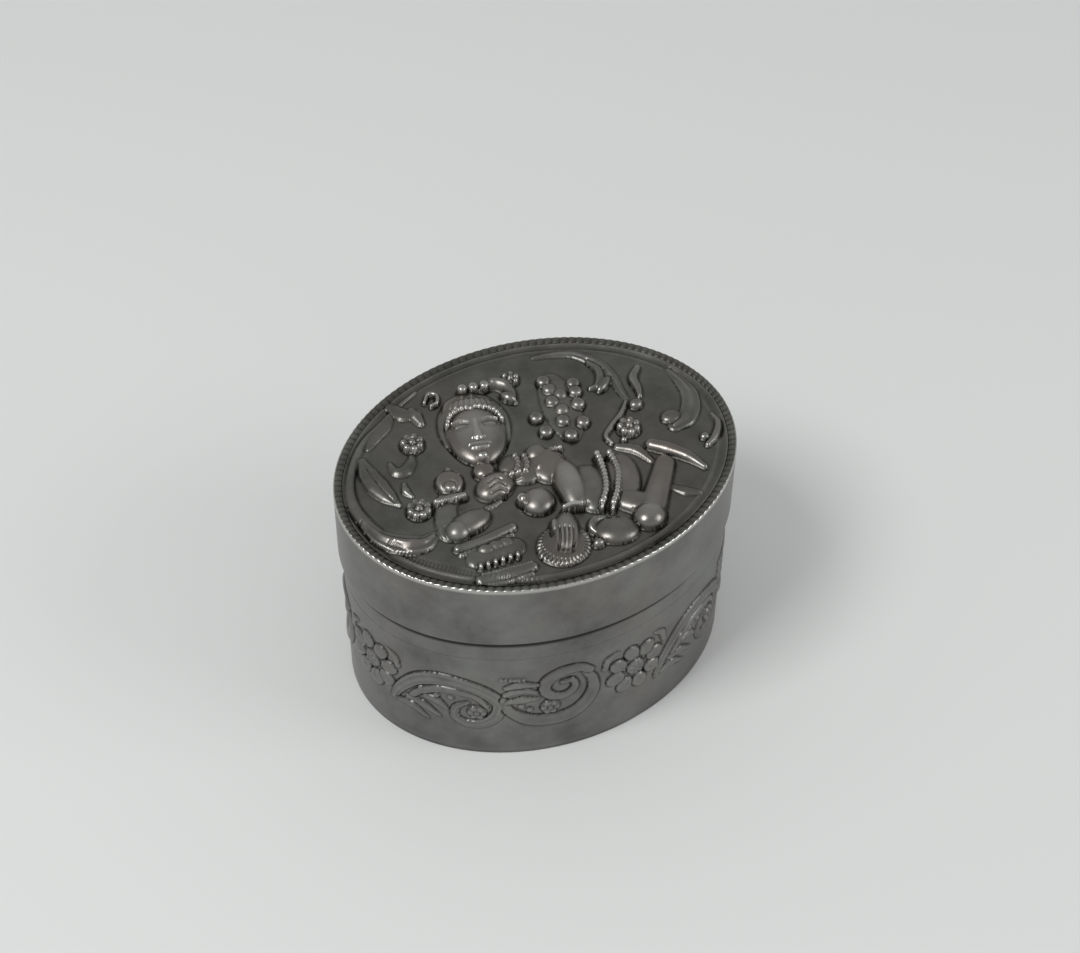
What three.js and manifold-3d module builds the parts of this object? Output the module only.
// Small oval silver box with a lift-off lid. Millimetres, +Z up.
// The origin is the centre of the flat base, X runs along the length of the oval.
import * as THREE from "three";
import { mergeVertices } from "three/addons/utils/BufferGeometryUtils.js";
import Module from "manifold-3d";

const wasm = await Module();
wasm.setup();

// Driving sizes
const LENGTH = 60; // outside length of the lid
const WIDTH = 48; // outside width of the lid
const BODY_HEIGHT = 25.5; // base to the seam
const LID_HEIGHT = 11.3; // seam to the top of the rim
const LID_WALL = 1.0; // thickness of the strip round the lid
const SEAT_WIDTH = 0.4; // how much of the lid's edge stands on the edge of the body
const SLIP_CLEARANCE = 0.25; // play between the lid and the sleeve that it slips over
const COLLAR_WALL = 0.6; // thickness of the sleeve that the lid slips over
const COLLAR_RISE = 6; // how far the sleeve stands above the seam
const COLLAR_DEPTH = 7; // how far the sleeve reaches down inside the body
const BASE_THICKNESS = 0.8;
const PLATE_THICKNESS = 0.7; // sheet of the chased top
const PLATE_DROP = 0.5; // how far the ground of the top lies below the rim
const RIM_WIDTH = 1.25; // notched wire round the top edge
const RIM_HEIGHT = 0.9;
const SOLDER_GAP = 0.05; // film of solder between two strips
const RELIEF_HEIGHT = 2.3; // highest form above the ground of the top
const SEGMENTS = 96; // facets round the oval

const SEAM = BODY_HEIGHT;
const TOP = BODY_HEIGHT + LID_HEIGHT;
const GROUND = TOP - PLATE_DROP;
// Distances inside the lid's outside
const COLLAR_OUTSIDE = LID_WALL + SLIP_CLEARANCE;
const BODY_OUTSIDE = LID_WALL - SEAT_WIDTH;
const BODY_INSIDE = COLLAR_OUTSIDE - SOLDER_GAP;

const AGED_SILVER = { color: 0x6d6c68, roughness: 0.38, metalness: 1 };
const DARK_SILVER = { color: 0x55534f, roughness: 0.45, metalness: 1 };
const INNER_SILVER = { color: 0x8a8883, roughness: 0.42, metalness: 1 };

// Points of an oval that lies a given distance inside the lid's outside.
function oval(inset) {
  const points = [];
  for (let i = 0; i < SEGMENTS; i += 1) {
    const t = (2 * Math.PI * i) / SEGMENTS;
    const x = (LENGTH / 2 - inset) * Math.cos(t);
    const y = (WIDTH / 2 - inset) * Math.sin(t);
    points.push(new THREE.Vector2(x, y));
  }
  return points;
}

// A flat sheet or, with an inner inset, a strip bent round the oval.
function ovalSolid(bottom, top, outerInset, innerInset) {
  const shape = new THREE.Shape(oval(outerInset));
  if (innerInset !== undefined) shape.holes.push(new THREE.Path(oval(innerInset)));
  const geometry = new THREE.ExtrudeGeometry(shape, {
    depth: top - bottom,
    bevelEnabled: false,
    steps: 1,
  });
  return geometry.translate(0, 0, bottom);
}

function toSolid(geometry) {
  const bare = geometry.index ? geometry.toNonIndexed() : geometry.clone();
  bare.deleteAttribute("normal");
  bare.deleteAttribute("uv");
  const merged = mergeVertices(bare, 1e-4);
  return new wasm.Manifold(
    new wasm.Mesh({
      numProp: 3,
      vertProperties: merged.attributes.position.array,
      triVerts: new Uint32Array(merged.index.array),
    }),
  );
}

function toGeometry(solid) {
  const mesh = solid.getMesh();
  const geometry = new THREE.BufferGeometry();
  geometry.setAttribute("position", new THREE.BufferAttribute(mesh.vertProperties, 3));
  geometry.setIndex(new THREE.BufferAttribute(mesh.triVerts, 1));
  geometry.computeVertexNormals();
  return geometry;
}

function piece(name, geometry, finish) {
  const mesh = new THREE.Mesh(geometry, new THREE.MeshStandardMaterial(finish));
  mesh.name = name;
  return mesh;
}

// The main swellings of the figure hammered up out of the top sheet. Each is given by its place
// and half sizes as shares of the oval, its height as a share of the relief, and its turn.
const SWELLINGS = [
  { part: "head", x: -0.37, y: 0.17, long: 0.15, wide: 0.16, rise: 1.0, turn: -0.3 },
  { part: "chest", x: -0.12, y: -0.02, long: 0.12, wide: 0.13, rise: 0.7, turn: 0 },
  { part: "upper arm", x: 0.0, y: -0.12, long: 0.07, wide: 0.17, rise: 0.8, turn: 0.5 },
  { part: "waist", x: 0.14, y: -0.04, long: 0.15, wide: 0.15, rise: 0.65, turn: 0 },
  { part: "hip", x: 0.27, y: -0.08, long: 0.12, wide: 0.18, rise: 0.7, turn: 0 },
  { part: "knee", x: 0.38, y: -0.2, long: 0.09, wide: 0.22, rise: 0.85, turn: 0.1 },
];

function reliefPlate() {
  const sheet = ovalSolid(GROUND - PLATE_THICKNESS, GROUND, RIM_WIDTH + SOLDER_GAP);
  let plate = toSolid(sheet);
  const upperHalf = toSolid(ovalSolid(GROUND - PLATE_THICKNESS / 2, TOP + RELIEF_HEIGHT, RIM_WIDTH * 2));
  for (const swelling of SWELLINGS) {
    const ball = new THREE.SphereGeometry(1, 20, 12);
    ball.scale(
      (swelling.long * LENGTH) / 2,
      (swelling.wide * WIDTH) / 2,
      swelling.rise * RELIEF_HEIGHT,
    );
    ball.rotateZ(swelling.turn);
    ball.translate((swelling.x * LENGTH) / 2, (swelling.y * WIDTH) / 2, GROUND);
    plate = plate.add(toSolid(ball).intersect(upperHalf));
  }
  return toGeometry(plate);
}

const group = new THREE.Group();

const body = new THREE.Group();
body.add(
  piece(
    "base_plate",
    ovalSolid(0, BASE_THICKNESS, BODY_INSIDE + SOLDER_GAP),
    INNER_SILVER,
  ),
  piece("body_wall", ovalSolid(0, SEAM, BODY_OUTSIDE, BODY_INSIDE), AGED_SILVER),
  piece(
    "body_collar",
    ovalSolid(
      SEAM - COLLAR_DEPTH,
      SEAM + COLLAR_RISE,
      COLLAR_OUTSIDE,
      COLLAR_OUTSIDE + COLLAR_WALL,
    ),
    INNER_SILVER,
  ),
);

const lid = new THREE.Group();
lid.add(
  piece("lid_wall", ovalSolid(SEAM, TOP - RIM_HEIGHT, 0, LID_WALL), AGED_SILVER),
  piece("lid_rim_wire", ovalSolid(TOP - RIM_HEIGHT, TOP, 0, RIM_WIDTH), DARK_SILVER),
  piece("lid_top_plate", reliefPlate(), DARK_SILVER),
);

group.add(body, lid);
export default group;
